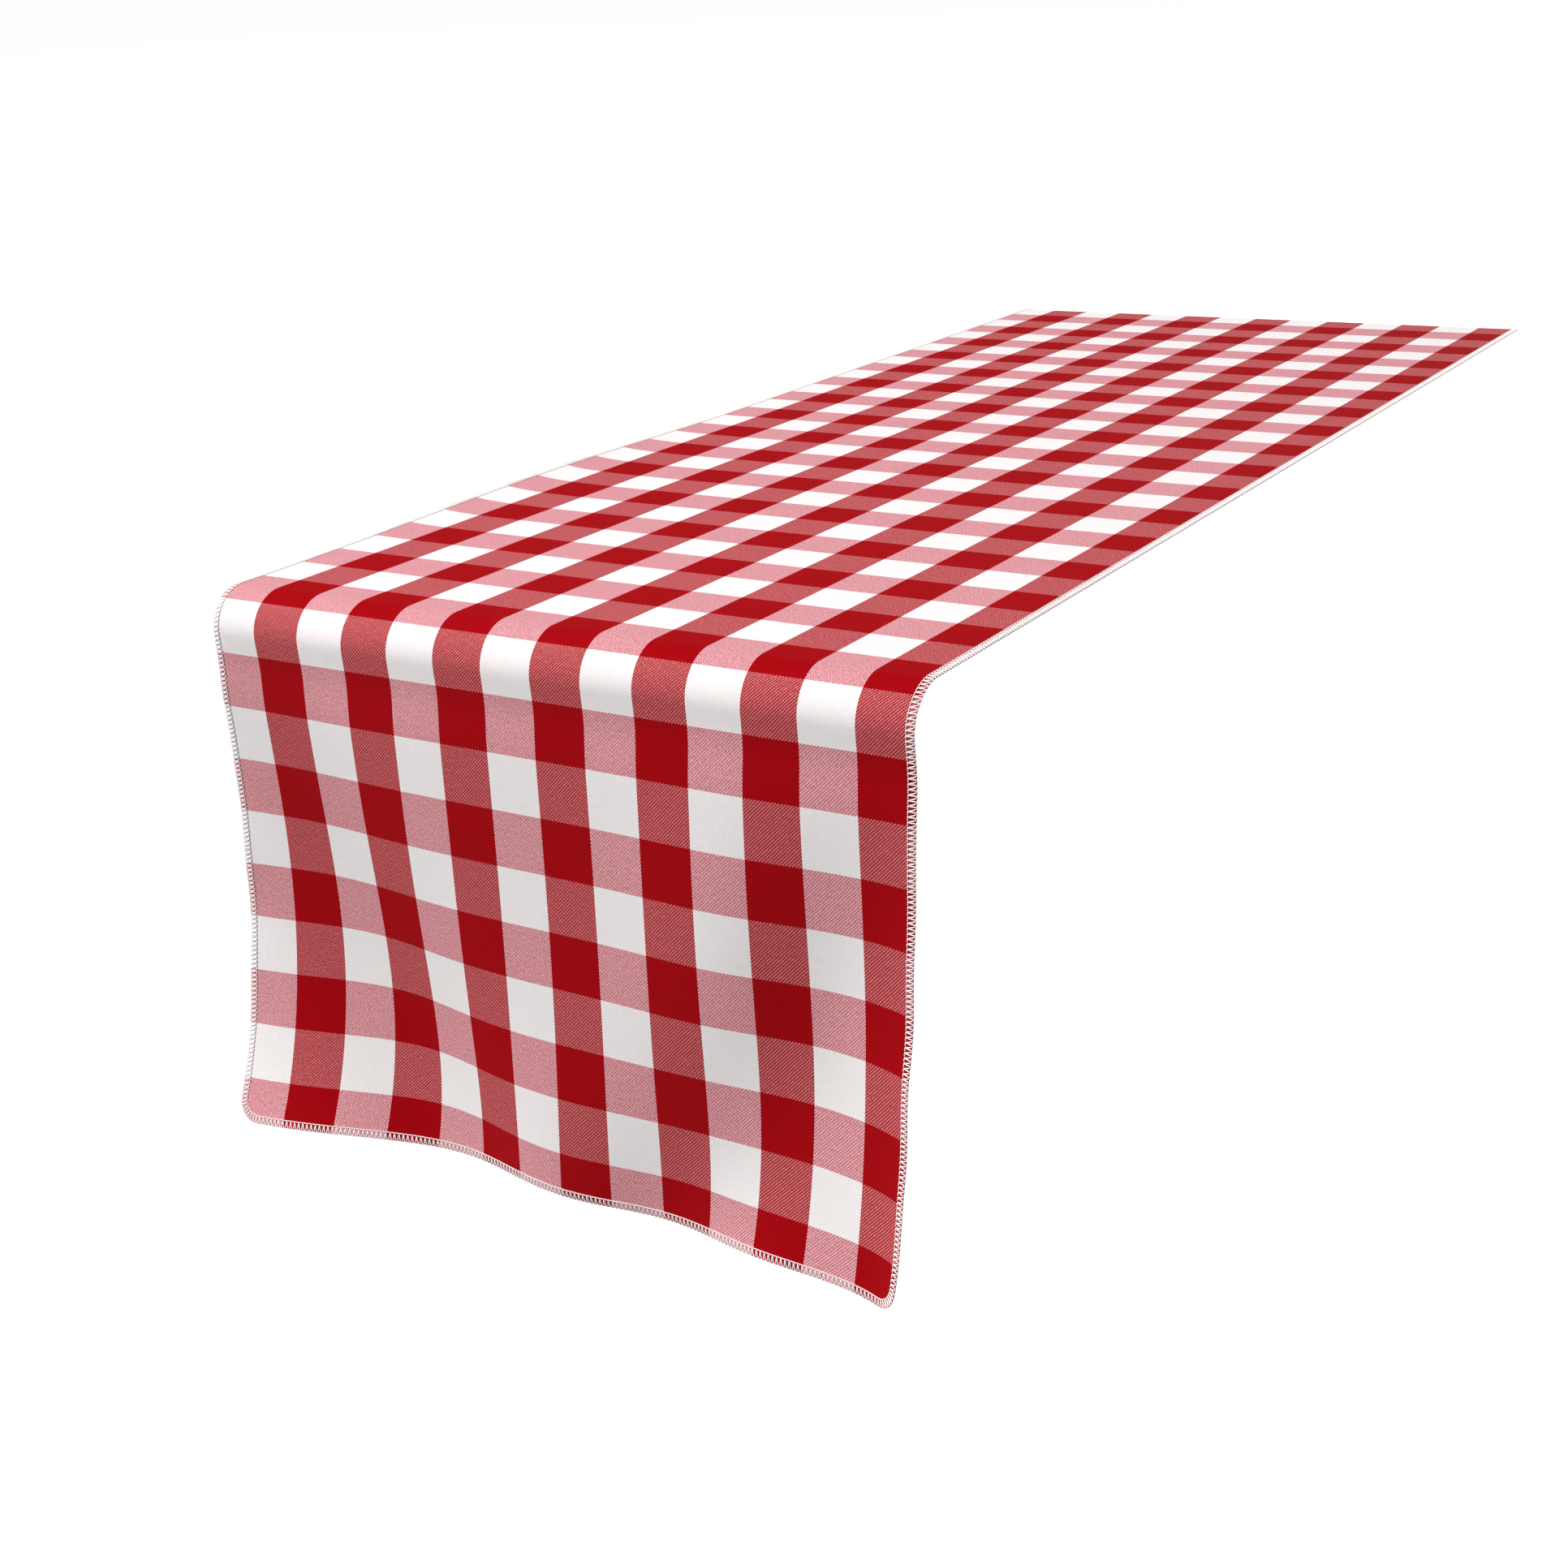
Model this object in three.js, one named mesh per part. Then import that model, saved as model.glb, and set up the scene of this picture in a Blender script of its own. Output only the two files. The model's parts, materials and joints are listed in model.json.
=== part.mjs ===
// A gingham table runner, lying along a table and hanging over its front end.
//
// One woven cloth with an overlocked edge all round it: a needle thread along the inside of the
// stitch, an upper looper thread on the good face and a lower looper thread on the back.
// Millimetres. X runs across the runner, Y along it and Z up. The origin is the middle of the flat
// stretch, on the underside, where the cloth lies on the table. The drop hangs at -Y, and at +Y the
// cloth ends just over the far end of the table.
import * as THREE from "three";

// The cloth as it was cut. Its length follows from how it lies: the drop, a quarter turn round the
// bend, the flat stretch and what reaches past it make 1066.8 mm.
const CLOTH_WIDTH = 355.6;
const CLOTH_THICKNESS = 0.5;
const CORNER_RADIUS = 12;

// How it lies, from the front hem to the back one
const FRONT_HANG = 232;
const BEND_RADIUS = 18.5; // to the underside of the cloth, over either end of the table
const FLAT_LENGTH = 795;
const BACK_REACH = 10.35; // of cloth past the flat stretch, curving down over the far end
const BACK_END_LENGTH = 32; // of cloth up to the back hem, which holds its rounded corners

// The overlocked edge
const OVERLOCK_WIDTH = 4;
const NEEDLE_LINE_WIDTH = 0.6;
const THREAD_THICKNESS = 0.25;

// Clearances between solids that touch on the real cloth
const FIT_GAP = 0.3;
const HINGE_CLEARANCE = 0.15; // left between a bend and its drop once the drop is lifted square

// Facets
const BEND_FACETS = 8;
const END_COLUMNS = 22;
const DROP_ROWS = 13;
const BACK_END_ROWS = 3;
const CORNER_FACETS = 4;

// Folds of the drop. Each is a soft ridge (height over 0) or valley (height under 0) that runs down
// the cloth: `edge` is the side that `inset` is measured from (-1 left, 1 right, seen from in
// front), `slant` moves it sideways for each millimetre down, and it grows with (way down)^growth,
// where the way down goes from 0 at the bend to about 1 at the hem.
// A flare is a fold that is highest at the edge and fades away from it.
const FOLDS = [
  { edge: -1, inset: 2, slant: 0.474, width: 55, height: -22, growth: 1.2 },
  { edge: 1, inset: 0, slant: 0.474, width: 52, height: -19.5, growth: 1.4 },
  { edge: 1, inset: 82, slant: 0.028, width: 46, height: 13.5, growth: 1 },
];
const FLARES = [
  { edge: -1, width: 280, height: 34, growth: 4 },
  { edge: 1, width: 24, height: 18, growth: 1 },
];
const LEAN = 0.004; // of the whole drop, outwards for each millimetre down
const SOFT_START = 0.035; // the share of the drop over which the folds begin

// Worked out from the sizes above
const MID_RADIUS = BEND_RADIUS + CLOTH_THICKNESS / 2;
const HALF_WIDTH = CLOTH_WIDTH / 2;
const HALF_FLAT = FLAT_LENGTH / 2;
const CLOTH_INSET = OVERLOCK_WIDTH + FIT_GAP; // bare cloth ends where the stitch begins
const LOOPER_STACK = 2 * THREAD_THICKNESS + FIT_GAP; // one looper over the other, at the edge
const HINGE_HEIGHT = -BEND_RADIUS;
const BACK_SEAM = HALF_FLAT + BACK_REACH - BACK_END_LENGTH; // where the back end's solids begin

// The hinge line lies in the middle of the cloth's thickness. The lifted drop turns its outer face up
// towards the bend, so each layer stops short of the line by as much as it stands out from it.
const CLOTH_HINGE_GAP = CLOTH_THICKNESS / 2 + HINGE_CLEARANCE;
const THREAD_HINGE_GAP = LOOPER_STACK - CLOTH_THICKNESS / 2 + HINGE_CLEARANCE;

const material = (color, roughness) =>
  new THREE.MeshStandardMaterial({ color, roughness, metalness: 0 });

// ---------------------------------------------------------------------------------------------
// The shapes of the two ends. `across` is measured along the cloth from its middle line. `down` is
// measured along it towards the hem, from the hinge line in front and from BACK_SEAM at the back.

// How far the drop stands out from the plane under the bend
function standOff(across, down) {
  const share = Math.max(down, 0) / FRONT_HANG;
  const way = Math.hypot(share, SOFT_START) - SOFT_START;
  let off = LEAN * down;
  for (const fold of FOLDS) {
    const centre = fold.edge * (HALF_WIDTH - fold.inset - fold.slant * down);
    const reach = (across - centre) / fold.width;
    off += fold.height * way ** fold.growth * Math.exp(-reach * reach);
  }
  for (const flare of FLARES) {
    const fromEdge = HALF_WIDTH - flare.edge * across;
    off += flare.height * way ** flare.growth * Math.exp(-fromEdge / flare.width);
  }
  return off;
}

// A cloth doesn't stretch, so a step along it covers less of the plane where it slopes. This adds
// up the covered length from 0 to `end`, by the midpoint rule.
function coveredLength(offAt, end) {
  const steps = 24;
  const step = end / steps;
  let covered = 0;
  for (let i = 0; i < steps; i++) {
    const slope = (offAt((i + 1) * step) - offAt(i * step)) / step;
    covered += step * Math.sqrt(Math.max(1 - slope * slope, 0.05));
  }
  return covered;
}

// The middle of the cloth's thickness on the front drop
function dropPoint(across, down) {
  const x = across === 0 ? 0 : coveredLength((a) => standOff(a, down), across);
  const fall = down === 0 ? 0 : coveredLength((d) => standOff(across, d), down);
  const out = HALF_FLAT + MID_RADIUS + standOff(across, down);
  return new THREE.Vector3(x, -out, HINGE_HEIGHT - fall);
}

// The middle of the cloth's thickness at the back end: flat, then curving down round the bend
function backEndPoint(across, down) {
  const along = BACK_SEAM + down;
  const turn = Math.max(along - HALF_FLAT, 0) / MID_RADIUS;
  const y = Math.min(along, HALF_FLAT) + MID_RADIUS * Math.sin(turn);
  return new THREE.Vector3(across, y, HINGE_HEIGHT + MID_RADIUS * Math.cos(turn));
}

// `facing` is 1 where across, down and the good face turn as they do in front, and -1 where they
// are mirrored.
const FRONT_DROP = { length: FRONT_HANG, rows: DROP_ROWS, facing: 1, pointAt: dropPoint };
const BACK_END = { length: BACK_END_LENGTH, rows: BACK_END_ROWS, facing: -1, pointAt: backEndPoint };

// A point `lift` away from the middle of the cloth's thickness, towards the good face
function liftedPoint(end, across, down, lift) {
  const step = 0.5;
  const sideways = end.pointAt(across + step, down).sub(end.pointAt(across - step, down));
  const upwards = end.pointAt(across, down).sub(end.pointAt(across, down + step));
  const normal = sideways.cross(upwards).multiplyScalar(end.facing).normalize();
  return end.pointAt(across, down).addScaledVector(normal, lift);
}

// One side of a line that runs `inset` inside the cut edge: straight down, then round the corner.
// Each station has the place on the line and the way inwards from the edge.
function sideStations(end, top, inset) {
  const stations = [];
  const cornerDown = end.length - CORNER_RADIUS;
  const cornerAcross = HALF_WIDTH - CORNER_RADIUS;
  const radius = CORNER_RADIUS - inset;
  for (let i = 0; i < end.rows; i++) {
    const down = top + ((cornerDown - top) * i) / end.rows;
    stations.push({ across: cornerAcross + radius, down, inAcross: -1, inDown: 0 });
  }
  for (let i = 0; i <= CORNER_FACETS; i++) {
    const angle = ((Math.PI / 2) * i) / CORNER_FACETS;
    stations.push({
      across: cornerAcross + radius * Math.cos(angle),
      down: cornerDown + radius * Math.sin(angle),
      inAcross: -Math.cos(angle),
      inDown: -Math.sin(angle),
    });
  }
  return stations;
}

// ---------------------------------------------------------------------------------------------
// Solids

// A closed solid from a grid of points on two faces. pointAt(i, j, face) gives a corner of the
// grid, with face 1 on the good side and face 0 on the back.
function sheetSolid(rows, columns, pointAt) {
  const positions = [];
  const indexOf = (i, j, face) => (i * (columns + 1) + j) * 2 + face;
  for (let i = 0; i <= rows; i++)
    for (let j = 0; j <= columns; j++)
      for (const face of [0, 1]) positions.push(...pointAt(i, j, face).toArray());

  const triangles = [];
  const quad = (a, b, c, d) => triangles.push(a, b, c, a, c, d);
  for (let i = 0; i < rows; i++)
    for (let j = 0; j < columns; j++) {
      const corners = [[i, j], [i + 1, j], [i + 1, j + 1], [i, j + 1]];
      quad(...corners.map(([r, c]) => indexOf(r, c, 1)));
      quad(...corners.reverse().map(([r, c]) => indexOf(r, c, 0)));
    }
  const rim = (i, j, k, l) =>
    quad(indexOf(i, j, 1), indexOf(i, j, 0), indexOf(k, l, 0), indexOf(k, l, 1));
  for (let i = 0; i < rows; i++) {
    rim(i, 0, i + 1, 0);
    rim(i + 1, columns, i, columns);
  }
  for (let j = 0; j < columns; j++) {
    rim(0, j + 1, 0, j);
    rim(rows, j, rows, j + 1);
  }

  const geometry = new THREE.BufferGeometry();
  geometry.setAttribute("position", new THREE.Float32BufferAttribute(positions, 3));
  geometry.setIndex(triangles);
  geometry.computeVertexNormals();
  return geometry;
}

// Turns a grid solid's faces round, for the end that the grid is mirrored on
function facingOut(geometry, end) {
  if (end.facing > 0) return geometry;
  const index = geometry.getIndex();
  for (let i = 0; i < index.count; i += 3) {
    const first = index.getX(i);
    index.setX(i, index.getX(i + 1));
    index.setX(i + 1, first);
  }
  geometry.computeVertexNormals();
  return geometry;
}

// The bare cloth of an end, out to where its stitch begins, with rounded corners
function endCloth(end, top) {
  const side = sideStations(end, top, CLOTH_INSET);
  const geometry = sheetSolid(side.length - 1, END_COLUMNS, (i, j, face) => {
    const across = side[i].across * ((2 * j) / END_COLUMNS - 1);
    return liftedPoint(end, across, side[i].down, (face - 0.5) * CLOTH_THICKNESS);
  });
  return facingOut(geometry, end);
}

// The stations of the cut edge of an end: down one side, round a corner, along the hem, round the
// other corner and up
function edgeStations(end, top) {
  const side = sideStations(end, top, 0);
  const stations = side.map((s) => ({ ...s, across: -s.across, inAcross: -s.inAcross }));
  const hemReach = HALF_WIDTH - CORNER_RADIUS;
  for (let j = 1; j < END_COLUMNS; j++) {
    const across = hemReach * ((2 * j) / END_COLUMNS - 1);
    stations.push({ across, down: end.length, inAcross: 0, inDown: -1 });
  }
  return stations.concat(side.reverse());
}

// A thread round the edge of an end: the band between two insets from the cut edge and two lifts
// from the back of the cloth
function endThread(end, top, band) {
  const stations = edgeStations(end, top);
  const geometry = sheetSolid(stations.length - 1, 1, (i, j, face) => {
    const { across, down, inAcross, inDown } = stations[i];
    const inset = j === 0 ? band.outer : band.inner;
    const lift = (face === 0 ? band.low : band.high) - CLOTH_THICKNESS / 2;
    return liftedPoint(end, across + inAcross * inset, down + inDown * inset, lift);
  });
  return facingOut(geometry, end);
}

// A shape in the Y-Z plane, extruded across the runner from `low` to `high` on X
function extrudeAcross(shape, low, high) {
  const settings = { depth: high - low, bevelEnabled: false, curveSegments: BEND_FACETS };
  const geometry = new THREE.ExtrudeGeometry(shape, settings);
  geometry.rotateY(Math.PI / 2);
  geometry.rotateX(Math.PI / 2);
  geometry.translate(low, 0, 0);
  return geometry;
}

// The flat stretch of cloth, between its two stitches and between the bend and the back end
function flatCloth() {
  const width = CLOTH_WIDTH - 2 * CLOTH_INSET;
  const length = BACK_SEAM + HALF_FLAT - FIT_GAP;
  const middle = (BACK_SEAM - HALF_FLAT) / 2;
  const geometry = new THREE.BoxGeometry(width, length, CLOTH_THICKNESS);
  return geometry.translate(0, middle, CLOTH_THICKNESS / 2);
}

// A quarter turn of cloth over the front end of the table. It starts half a gap past the flat
// stretch and ends short of the hinge line.
function bendCloth() {
  const first = Math.PI / 2 + FIT_GAP / 2 / MID_RADIUS;
  const last = Math.PI - CLOTH_HINGE_GAP / MID_RADIUS;
  const shape = new THREE.Shape();
  shape.absarc(-HALF_FLAT, HINGE_HEIGHT, BEND_RADIUS + CLOTH_THICKNESS, first, last, false);
  shape.absarc(-HALF_FLAT, HINGE_HEIGHT, BEND_RADIUS, last, first, true);
  shape.closePath();
  const reach = HALF_WIDTH - CLOTH_INSET;
  return extrudeAcross(shape, -reach, reach);
}

// A thread along one long edge of the flat stretch and over the front bend. It stops short of the
// hinge line.
function runThread(edge, band) {
  const last = Math.PI - THREAD_HINGE_GAP / MID_RADIUS;
  const backStop = BACK_SEAM - FIT_GAP / 2;
  const shape = new THREE.Shape();
  shape.moveTo(backStop, band.high);
  shape.absarc(-HALF_FLAT, HINGE_HEIGHT, BEND_RADIUS + band.high, Math.PI / 2, last, false);
  shape.absarc(-HALF_FLAT, HINGE_HEIGHT, BEND_RADIUS + band.low, last, Math.PI / 2, true);
  shape.lineTo(backStop, band.low);
  shape.closePath();
  const far = edge * (HALF_WIDTH - band.outer);
  const near = edge * (HALF_WIDTH - band.inner);
  return extrudeAcross(shape, Math.min(far, near), Math.max(far, near));
}

// ---------------------------------------------------------------------------------------------
// The pieces. A band's insets are measured inwards from the cut edge, and its lifts from the back
// of the cloth. The two loopers lie over each other, where the real ones wrap the cloth's margin.
const NEEDLE = {
  outer: OVERLOCK_WIDTH - NEEDLE_LINE_WIDTH,
  inner: OVERLOCK_WIDTH,
  low: 0,
  high: CLOTH_THICKNESS,
};
const LOOPER_INNER = OVERLOCK_WIDTH - NEEDLE_LINE_WIDTH - FIT_GAP;
const LOWER_LOOPER = { outer: 0, inner: LOOPER_INNER, low: 0, high: THREAD_THICKNESS };
const UPPER_LOOPER = {
  outer: 0,
  inner: LOOPER_INNER,
  low: THREAD_THICKNESS + FIT_GAP,
  high: LOOPER_STACK,
};
const THREADS = [
  ["needle_thread", NEEDLE, 0xf4eceb],
  ["upper_looper_thread", UPPER_LOOPER, 0xf7f1f0],
  ["lower_looper_thread", LOWER_LOOPER, 0xf1e8e7],
];

const GINGHAM_RED = 0xb04a4c;
const CLOTH_ROUGHNESS = 0.85;
const THREAD_ROUGHNESS = 0.6;

const runner = new THREE.Group();
function addPiece(name, geometry, color, roughness) {
  const mesh = new THREE.Mesh(geometry, material(color, roughness));
  mesh.name = name;
  runner.add(mesh);
}

addPiece("cloth_top_run", flatCloth(), GINGHAM_RED, CLOTH_ROUGHNESS);
addPiece("cloth_front_bend", bendCloth(), GINGHAM_RED, CLOTH_ROUGHNESS);
addPiece("cloth_front_drop", endCloth(FRONT_DROP, CLOTH_HINGE_GAP), GINGHAM_RED, CLOTH_ROUGHNESS);
addPiece("cloth_back_end", endCloth(BACK_END, FIT_GAP / 2), GINGHAM_RED, CLOTH_ROUGHNESS);
for (const [thread, band, color] of THREADS) {
  const addThread = (place, geometry) =>
    addPiece(`${thread}_${place}`, geometry, color, THREAD_ROUGHNESS);
  addThread("left_run", runThread(-1, band));
  addThread("right_run", runThread(1, band));
  addThread("front_drop", endThread(FRONT_DROP, THREAD_HINGE_GAP, band));
  addThread("back_end", endThread(BACK_END, FIT_GAP / 2, band));
}

export default runner;
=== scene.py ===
# %% [markdown]
# # A gingham table runner
#
# This lesson makes a red and white table runner that lies along a table and hangs over its
# front end. The design, its sizes and its one moving joint come from a CAD model, which is
# loaded first and never moved. Everything that can be seen is then made around it: the woven
# cloth, and the three threads of the overlocked edge.
#
# The order is the one a workshop would use. The camera and the light come first, so that each
# piece can be judged as it is made. Then the cloth is cut flat, laid over the table's end and
# given its thickness, the edge is sewn, and last come the finishes.

# %% Load the frame
import json
import math

import bpy
import numpy as np
from mathutils import Matrix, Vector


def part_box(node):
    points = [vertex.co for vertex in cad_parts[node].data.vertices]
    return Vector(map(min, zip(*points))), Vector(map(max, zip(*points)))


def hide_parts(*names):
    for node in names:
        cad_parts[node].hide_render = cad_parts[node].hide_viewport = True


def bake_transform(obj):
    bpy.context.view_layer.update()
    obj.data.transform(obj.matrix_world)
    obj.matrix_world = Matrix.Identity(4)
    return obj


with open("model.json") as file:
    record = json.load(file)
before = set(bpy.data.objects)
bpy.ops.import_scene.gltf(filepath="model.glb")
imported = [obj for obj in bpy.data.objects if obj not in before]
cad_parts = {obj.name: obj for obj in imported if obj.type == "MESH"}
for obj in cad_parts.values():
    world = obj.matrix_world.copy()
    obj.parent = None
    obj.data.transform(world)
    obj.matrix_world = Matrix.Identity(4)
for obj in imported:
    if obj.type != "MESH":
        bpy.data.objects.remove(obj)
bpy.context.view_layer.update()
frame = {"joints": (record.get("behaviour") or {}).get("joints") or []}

# %% [markdown]
# ## Sizes
#
# The frame already knows most sizes, so they are read from it and not typed again. The
# joint's position says where the hinge line of the drop is: below the end of the flat stretch
# by the bend's radius, and past it by the radius to the middle of the cloth. What a box can't
# tell, such as how much cloth hangs in front once it has folds in it, is a named value. All
# lengths are in metres.

# %% Sizes of the cloth and of how it lies
hinge = frame["joints"][0]["pos_m"]
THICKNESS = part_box("cloth_top_run")[1].z
HALF_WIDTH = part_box("upper_looper_thread_right_run")[1].x
HALF_FLAT = -(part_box("cloth_top_run")[0].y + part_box("cloth_front_bend")[1].y) / 2
MID_RADIUS = -hinge[1] - HALF_FLAT
HINGE_HEIGHT = hinge[2]
BEND_LENGTH = math.pi / 2 * MID_RADIUS

CUT_LENGTH = 1.0668
FRONT_HANG = 0.232
CORNER_RADIUS = 0.012
BACK_REACH = CUT_LENGTH - FRONT_HANG - BEND_LENGTH - 2 * HALF_FLAT

FRONT_HEM = -(HALF_FLAT + BEND_LENGTH + FRONT_HANG)
BACK_HEM = HALF_FLAT + BACK_REACH
print(f"cloth {2 * HALF_WIDTH:.4f} x {CUT_LENGTH:.4f} m,"
      f" {BACK_REACH * 1000:.1f} mm of it past the flat stretch")

# %% [markdown]
# ## Camera
#
# A camera is three things: where it stands, which way it is turned, and its lens. This one
# stands in front of the drop and to the right, a little above the table, and looks down along
# the cloth. It could be aimed with a Track To constraint, but turning it by azimuth,
# elevation and a small roll keeps every angle in sight. The shift slides the picture up the
# way a view camera's rising front does, without tilting the lens, so upright lines don't lean
# more than they do to the eye.

# %% Camera
CAMERA_PLACE = (0.562, -1.102, 0.2575)
CAMERA_AZIMUTH = math.radians(32.69)  # turned left from looking straight along +Y
CAMERA_ELEVATION = math.radians(18.14)
CAMERA_ROLL = math.radians(-2.97)
CAMERA_LENS = 52.37  # millimetres, as the sensor's width is
SENSOR_WIDTH = 36
CAMERA_SHIFT = -0.0549  # a share of the picture's width
FARTHEST_SEEN = 100


def turned(angle, axis):
    """A rotation about one axis, as a 4 x 4 matrix."""
    return Matrix.Rotation(angle, 4, axis)


bpy.ops.object.camera_add(location=CAMERA_PLACE)
camera = bpy.context.object
camera.rotation_euler = (
    turned(CAMERA_AZIMUTH, "Z")
    @ turned(math.pi / 2 - CAMERA_ELEVATION, "X")
    @ turned(CAMERA_ROLL, "Z")
).to_euler()
camera.data.sensor_width = SENSOR_WIDTH
camera.data.lens = CAMERA_LENS
camera.data.shift_y = CAMERA_SHIFT
camera.data.clip_end = FARTHEST_SEEN
bpy.context.scene.camera = camera
print("camera stands", round(camera.location.length, 3), "m from the middle of the flat stretch")

# %% [markdown]
# ## Light and floor
#
# Cloth is shown best by large soft lights: a small one would draw every fold as a black line.
# The main light is a wide one in front, to the left and well above. It falls almost straight
# on the bend, a little aslant on the flat cloth and more so on the drop, which is how the eye
# tells the three apart, and because it comes from the left it shades the folds on one side. A
# weaker light behind does the same for the back of the drop.
#
# The world fills the shadows from all sides. It has two strengths: a low one for lighting, so
# that the folds aren't washed out, and a high one for what the camera sees, so that the room
# behind is white. The floor is a plain pale sweep, lit by a glow of its own. It throws no
# light back up, as the dark underside of a table would not, because light from below would
# flatten the drop.

# %% The white room
ROOM_COLOUR = (1.0, 0.99, 1.0, 1)
FILL_STRENGTH = 0.27  # of the room as a light
ROOM_BRIGHTNESS = 1.0  # of the room as the camera sees it

world = bpy.data.worlds.new("white_room")
bpy.context.scene.world = world
world.use_nodes = True
background = world.node_tree.nodes["Background"]
background.inputs["Color"].default_value = ROOM_COLOUR
seen = world.node_tree.nodes.new("ShaderNodeLightPath").outputs["Is Camera Ray"]
strength = world.node_tree.nodes.new("ShaderNodeMapRange")
strength.inputs["To Min"].default_value = FILL_STRENGTH
strength.inputs["To Max"].default_value = ROOM_BRIGHTNESS
world.node_tree.links.new(seen, strength.inputs["Value"])
world.node_tree.links.new(strength.outputs["Result"], background.inputs["Strength"])
bpy.context.scene.view_settings.view_transform = "Standard"
print("room:", world.name, "with", len(world.node_tree.nodes), "nodes")

# %% The two lights
# Each has a place, the point it faces, the width of its square, its watts and its colour.
LIGHTS = {
    "window_light": ((-2.2, -2.8, 3.77), (0, -0.35, 0), 2.2, 335, (1.0, 0.98, 0.975)),
    "back_light": ((1.6, 4.2, 0.9), (0, 0, -0.1), 2.5, 120, (1.0, 0.995, 0.99)),
}

for name, (place, aim, width, power, colour) in LIGHTS.items():
    bpy.ops.object.light_add(type="AREA", location=place)
    light = bpy.context.object
    light.name = name
    light.data.size = width
    light.data.energy = power
    light.data.color = colour
    toward = [a - p for a, p in zip(aim, place)]
    across = math.atan2(toward[1], toward[0])
    down = math.atan2(-toward[2], math.hypot(toward[0], toward[1]))
    light.rotation_euler = (math.pi / 2 - down, 0, across - math.pi / 2)
    print(name, "looks down by", round(math.degrees(down)), "degrees")

# %% The floor
FLOOR_HEIGHT = -0.75
FLOOR_SIZE = 60

bpy.ops.mesh.primitive_plane_add(size=FLOOR_SIZE, location=(0, 0, FLOOR_HEIGHT))
floor = bpy.context.object
floor.name = "floor"
floor.visible_diffuse = False
print("floor", -FLOOR_HEIGHT, "m below the flat cloth")

# %% [markdown]
# ## How the cloth lies
#
# Cloth bends easily but hardly stretches. So its shape is written as one rule that takes a
# point of the flat cut cloth and gives its place in the room. `across` is the distance from
# the cloth's middle line and `along` the distance from the middle of the flat stretch, both
# measured on the cloth. The rule lays the cloth flat, turns it round the table's end, lets it
# hang, and curls its last centimetre over the far end.
#
# A cloth simulation could find such a shape, but it would find its own folds. These folds are
# listed one by one, each as a soft ridge or valley that deepens on its way down, and the length
# that a slope uses up is added along the way, so that the checks keep their size.

# %% The folds of the drop
FOLDS = [
    dict(edge=-1, inset=0.002, slant=0.474, width=0.055, height=-0.022, growth=1.2),
    dict(edge=1, inset=0.000, slant=0.474, width=0.052, height=-0.0195, growth=1.4),
    dict(edge=1, inset=0.082, slant=0.028, width=0.046, height=0.0135, growth=1.0),
]
FLARES = [
    dict(edge=-1, width=0.280, height=0.034, growth=4.0),
    dict(edge=1, width=0.024, height=0.018, growth=1.0),
]
LEAN = 0.004
SOFT_START = 0.035  # the share of the drop over which a fold begins
COVER_STEPS = 24  # in which a length of cloth is followed to see what it covers
LEAST_COVER = 0.05  # the least that a slope may leave of a step, squared


def stand_off(across, down):
    """How far the drop stands out from the upright plane under the bend."""
    share = np.maximum(down, 0) / FRONT_HANG
    way = np.sqrt(share**2 + SOFT_START**2) - SOFT_START
    off = LEAN * down
    for fold in FOLDS:
        centre = fold["edge"] * (HALF_WIDTH - fold["inset"] - fold["slant"] * down)
        reach = (across - centre) / fold["width"]
        off = off + fold["height"] * way ** fold["growth"] * np.exp(-(reach**2))
    for flare in FLARES:
        from_edge = HALF_WIDTH - flare["edge"] * across
        off = off + flare["height"] * way ** flare["growth"] * np.exp(-from_edge / flare["width"])
    return off


def covered(off_at, end):
    """How much of the plane a length of cloth covers, given how far it stands off on the way."""
    step = end / COVER_STEPS
    run = np.where(np.abs(step) < 1e-9, 1, step)
    total, before = np.zeros_like(end), off_at(np.zeros_like(end))
    for number in range(1, COVER_STEPS + 1):
        after = off_at(number * step)
        total += step * np.sqrt(np.maximum(1 - ((after - before) / run) ** 2, LEAST_COVER))
        before = after
    return total


print("stand-off at the hem, left to right, mm:",
      np.round(stand_off(np.linspace(-HALF_WIDTH, HALF_WIDTH, 5), FRONT_HANG) * 1000, 1))

# %% Where the middle of the cloth's thickness goes
def mid_surface(across, along):
    """The middle of the cloth's thickness, as an array of points."""
    front = np.clip(-along - HALF_FLAT, 0, BEND_LENGTH) / MID_RADIUS
    back = np.maximum(along - HALF_FLAT, 0) / MID_RADIUS
    down = np.maximum(-along - HALF_FLAT - BEND_LENGTH, 0)
    x = covered(lambda a: stand_off(a, down), across)
    fall = covered(lambda d: stand_off(across, d), down)
    y = np.clip(along, -HALF_FLAT, HALF_FLAT) + MID_RADIUS * (np.sin(back) - np.sin(front))
    z = HINGE_HEIGHT + MID_RADIUS * (np.cos(front) + np.cos(back) - 1)
    return np.stack([x, y - stand_off(across, down), z - fall], axis=1)


middle_of_hem = mid_surface(np.zeros(1), np.full(1, FRONT_HEM))[0]
print("the hem's middle lies", -round(middle_of_hem[2] * 1000), "mm below the flat stretch")

# %% Small lifts of the edges, and the whole rule
EDGE_LIFT = 0.0030  # how far the left edge of the flat stretch stands up
EDGE_LIFT_SPAN = (-0.37, 0.02)
EDGE_LIFT_WIDTH = 0.016
RIPPLE = 0.0003  # the small uneven wave that a close stitch leaves along an edge
RIPPLE_LENGTHS = (0.047, 0.071)
RIPPLE_WIDTH = 0.010
TUCK = 0.0012  # how far the cloth draws in under the bend before it hangs free
TUCK_PLACE = 0.014  # below the foot of the bend
TUCK_LENGTH = 0.012
NEARBY = 0.0005  # how far to each side the rule looks to see which way the cloth faces


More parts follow.
